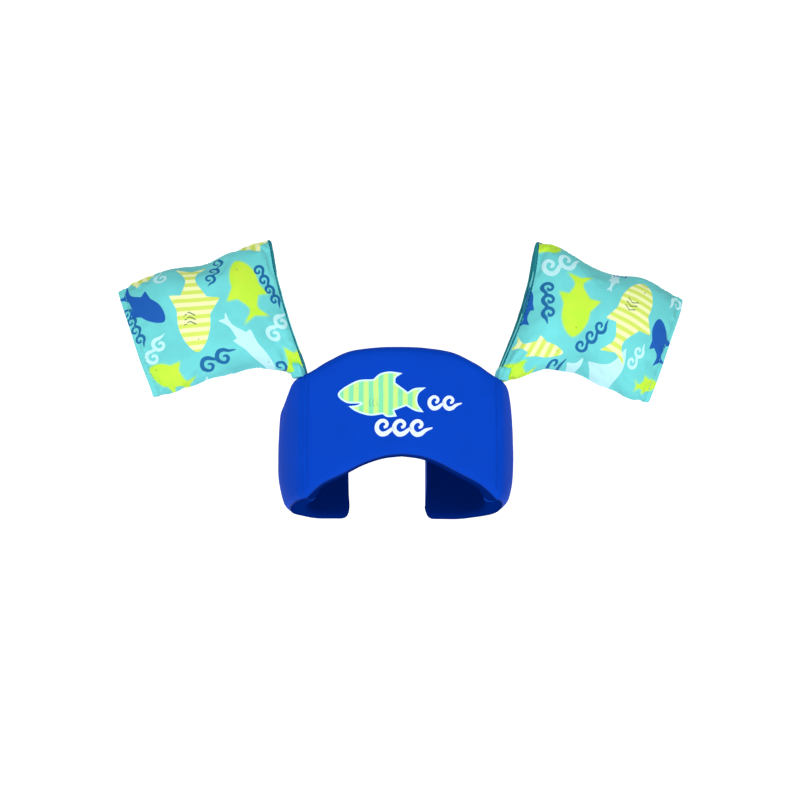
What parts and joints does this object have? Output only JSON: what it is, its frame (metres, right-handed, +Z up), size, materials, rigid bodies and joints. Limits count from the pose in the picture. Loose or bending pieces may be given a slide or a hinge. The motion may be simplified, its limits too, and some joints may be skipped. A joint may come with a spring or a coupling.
{
  "type": "child's swim vest with arm floats",
  "caption": "Foam chest float that wraps round a child's ribs and buckles at the back, with a foam sleeve hung from each top corner for the upper arms.",
  "frame": {"origin": "middle of the torso opening, level with the lowest edge of the chest float", "axes": "+X towards the viewer's right, the chest panel faces -Y, +Z up"},
  "size_m": [0.5986, 0.1948, 0.2859],
  "materials": {
    "royal_knit": "matte",
    "navy_knit": "matte",
    "foam": "matte",
    "lining_knit": "matte",
    "printed_knit": "matte",
    "fish_film": "satin",
    "wave_film": "satin",
    "webbing": "matte",
    "acetal": "satin"
  },
  "bodies": {
    "chest": {"chest_cover": "royal_knit", "chest_foam": "foam", "chest_lining": "lining_knit", "fish_print": "fish_film", "wave_print_low": "wave_film", "wave_print_side": "wave_film"},
    "left_wing": {"left_wing_cover": "navy_knit", "left_wing_foam": "foam", "left_wing_lining": "lining_knit", "left_sewn_webbing": "webbing"},
    "left_shoulder": {"left_gusset": "navy_knit"},
    "left_arm": {"left_arm_cover": "printed_knit", "left_arm_lining": "lining_knit", "left_arm_foam_front": "foam", "left_arm_foam_back": "foam", "left_arm_shoulder_hem": "printed_knit", "left_arm_elbow_hem": "printed_knit"},
    "right_wing": {"right_wing_cover": "navy_knit", "right_wing_foam": "foam", "right_wing_lining": "lining_knit", "right_sewn_webbing": "webbing"},
    "right_shoulder": {"right_gusset": "navy_knit"},
    "right_arm": {"right_arm_cover": "printed_knit", "right_arm_lining": "lining_knit", "right_arm_foam_front": "foam", "right_arm_foam_back": "foam", "right_arm_shoulder_hem": "printed_knit", "right_arm_elbow_hem": "printed_knit"},
    "left_strap": {"left_strap_loop": "webbing", "buckle_socket": "acetal"},
    "right_strap": {"right_strap_loop": "webbing", "buckle_plug": "acetal", "strap_tail": "webbing"},
    "prong_upper": {"buckle_prong_upper": "acetal"},
    "prong_lower": {"buckle_prong_lower": "acetal"},
    "keeper": {"strap_keeper": "webbing"}
  },
  "joints": [
    {"name": "left_wing_open", "type": "hinge", "parent": "chest", "child": "left_wing", "pos_m": [-0.105, -0.08388, 0.08], "axis": [0, 0, 1], "range_deg": [0, 60]},
    {"name": "left_strap_turn", "type": "hinge", "parent": "left_wing", "child": "left_strap", "pos_m": [-0.0455, 0.0873, 0.092], "axis": [0, 0, -1], "range_deg": [0, 60]},
    {"name": "left_arm_raise", "type": "hinge", "parent": "chest", "child": "left_shoulder", "pos_m": [-0.106, -0.0665, 0.1495], "axis": [0, 1, 0], "range_deg": [-38, 25]},
    {"name": "left_arm_swing", "type": "hinge", "parent": "left_shoulder", "child": "left_arm", "pos_m": [-0.11, -0.064, 0.1516], "axis": [0, 0, 1], "range_deg": [-25, 45]},
    {"name": "right_wing_open", "type": "hinge", "parent": "chest", "child": "right_wing", "pos_m": [0.105, -0.08388, 0.08], "axis": [0, 0, -1], "range_deg": [0, 60]},
    {"name": "right_strap_turn", "type": "hinge", "parent": "right_wing", "child": "right_strap", "pos_m": [0.0455, 0.0873, 0.092], "axis": [0, 0, 1], "range_deg": [0, 60]},
    {"name": "right_arm_raise", "type": "hinge", "parent": "chest", "child": "right_shoulder", "pos_m": [0.106, -0.0665, 0.1495], "axis": [0, -1, 0], "range_deg": [-38, 25]},
    {"name": "right_arm_swing", "type": "hinge", "parent": "right_shoulder", "child": "right_arm", "pos_m": [0.11, -0.064, 0.1516], "axis": [0, 0, -1], "range_deg": [-25, 45]},
    {"name": "upper_prong_press", "type": "hinge", "parent": "right_strap", "child": "prong_upper", "pos_m": [0.0095, 0.0882, 0.1018], "axis": [0, -1, 0], "range_deg": [0, 9], "stiffness_Nm_per_rad": 0.05},
    {"name": "lower_prong_press", "type": "hinge", "parent": "right_strap", "child": "prong_lower", "pos_m": [0.0095, 0.0882, 0.0822], "axis": [0, 1, 0], "range_deg": [0, 9], "stiffness_Nm_per_rad": 0.05},
    {"name": "keeper_slide", "type": "slide", "parent": "right_strap", "child": "keeper", "axis": [1, 0, 0], "range_m": [-0.0015, 0.001]}
  ],
  "couplings": [
    {"joint": "right_wing_open", "follows": "left_wing_open", "ratio": 1},
    {"joint": "left_strap_turn", "follows": "left_wing_open", "ratio": 1},
    {"joint": "right_strap_turn", "follows": "left_wing_open", "ratio": 1}
  ]
}
